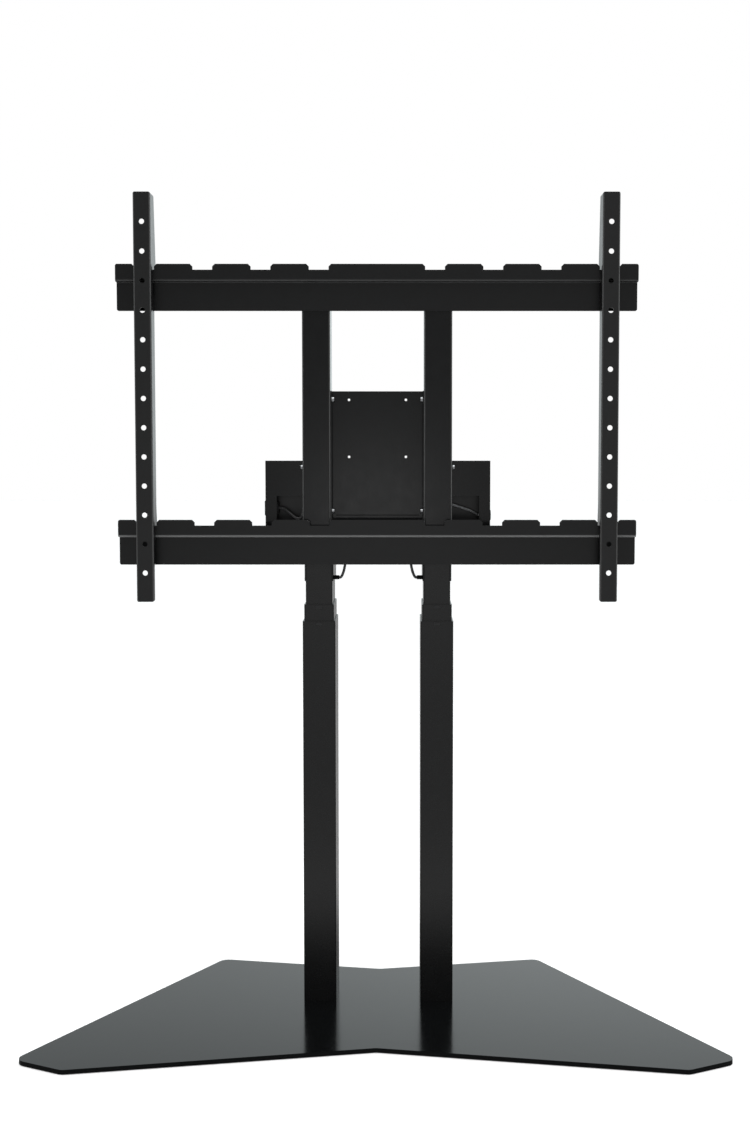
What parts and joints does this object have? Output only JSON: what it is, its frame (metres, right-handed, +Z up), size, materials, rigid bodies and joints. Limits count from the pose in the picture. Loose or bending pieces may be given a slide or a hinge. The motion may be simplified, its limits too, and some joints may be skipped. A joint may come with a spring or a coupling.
{
  "type": "display floor stand",
  "caption": "Motorised floor stand for a large flat display: butterfly floor plate, twin telescopic columns, notched rails and hook-on arms.",
  "frame": {"origin": "on the floor under the middle of the floor plate", "axes": "+X to the right seen from the display side, -Y towards the viewer of the display, +Z up"},
  "size_m": [1.1814, 0.5529, 1.451],
  "materials": {
    "black_coat": "satin black powder coat",
    "raw_steel": "plain steel",
    "zinc_steel": "zinc plated",
    "guide_plastic": "dark low-friction plastic",
    "nut_bronze": "bronze",
    "cast_aluminium": "die cast",
    "motor_can": "plated can",
    "rubber_black": "matt rubber",
    "housing_plastic": "fine grain",
    "cable_black": "smooth sheath",
    "cable_grey": "smooth pale sheath"
  },
  "bodies": {
    "base": {"floor_plate": "black_coat", "floor_pads": "rubber_black", "foot_screws": "zinc_steel", "foot_block_left": "raw_steel", "foot_block_right": "raw_steel", "outer_tube_left": "black_coat", "outer_tube_right": "black_coat", "outer_glide_left": "guide_plastic", "outer_glide_right": "guide_plastic", "nut_post_left": "raw_steel", "nut_post_right": "raw_steel", "spindle_nut_left": "nut_bronze", "spindle_nut_right": "nut_bronze"},
    "middle_left": {"middle_tube_left": "black_coat", "middle_glide_left": "guide_plastic", "middle_shoe_left": "guide_plastic"},
    "middle_right": {"middle_tube_right": "black_coat", "middle_glide_right": "guide_plastic", "middle_shoe_right": "guide_plastic"},
    "carriage": {"inner_tube_left": "black_coat", "inner_tube_right": "black_coat", "inner_shoe_left": "guide_plastic", "inner_shoe_right": "guide_plastic", "head_sleeve_left": "black_coat", "head_sleeve_right": "black_coat", "gearbox_left": "cast_aluminium", "gearbox_right": "cast_aluminium", "motor_left": "motor_can", "motor_right": "motor_can", "head_bracket_left": "black_coat", "head_bracket_right": "black_coat", "head_bolts": "zinc_steel", "bracket_bolts": "zinc_steel", "upright_left": "black_coat", "upright_right": "black_coat", "upper_rail": "black_coat", "lower_rail": "black_coat", "rail_nuts": "zinc_steel", "device_plate": "black_coat", "side_bolts": "zinc_steel", "cross_panel": "black_coat", "cover_posts": "zinc_steel", "rear_cover": "black_coat", "cover_screws": "zinc_steel", "control_unit": "housing_plastic", "control_unit_screws": "zinc_steel", "mains_inlet": "housing_plastic", "inlet_lead": "cable_black", "signal_socket": "housing_plastic", "signal_lead": "cable_grey", "lead_boot_left": "rubber_black", "lead_boot_right": "rubber_black", "motor_lead_left": "cable_black", "motor_lead_right": "cable_black"},
    "drive_left": {"spindle_left": "raw_steel"},
    "drive_right": {"spindle_right": "raw_steel"},
    "display_arm_left": {"arm_left": "black_coat"},
    "display_arm_right": {"arm_right": "black_coat"}
  },
  "joints": [
    {"name": "lift", "type": "slide", "parent": "base", "child": "carriage", "axis": [0, 0, 1], "range_m": [0, 0.65]},
    {"name": "middle_left_slide", "type": "slide", "parent": "base", "child": "middle_left", "axis": [0, 0, 1], "range_m": [0, 0.325]},
    {"name": "middle_right_slide", "type": "slide", "parent": "base", "child": "middle_right", "axis": [0, 0, 1], "range_m": [0, 0.325]},
    {"name": "spindle_left_turn", "type": "hinge", "parent": "carriage", "child": "drive_left", "pos_m": [-0.106, 0.1055, 0.8], "axis": [0, 0, 1], "range_deg": [0, 14625.01]},
    {"name": "spindle_right_turn", "type": "hinge", "parent": "carriage", "child": "drive_right", "pos_m": [0.106, 0.1055, 0.8], "axis": [0, 0, 1], "range_deg": [0, 14625.01]},
    {"name": "arm_left_lift_off", "type": "slide", "parent": "carriage", "child": "display_arm_left", "axis": [0, 0, 1], "range_m": [0, 0.016]},
    {"name": "arm_right_lift_off", "type": "slide", "parent": "carriage", "child": "display_arm_right", "axis": [0, 0, 1], "range_m": [0, 0.016]}
  ],
  "couplings": [
    {"joint": "middle_left_slide", "follows": "lift", "ratio": 0.5},
    {"joint": "middle_right_slide", "follows": "lift", "ratio": 0.5},
    {"joint": "spindle_left_turn", "follows": "lift", "rad_per_m": 392.7},
    {"joint": "spindle_right_turn", "follows": "lift", "rad_per_m": 392.7}
  ]
}
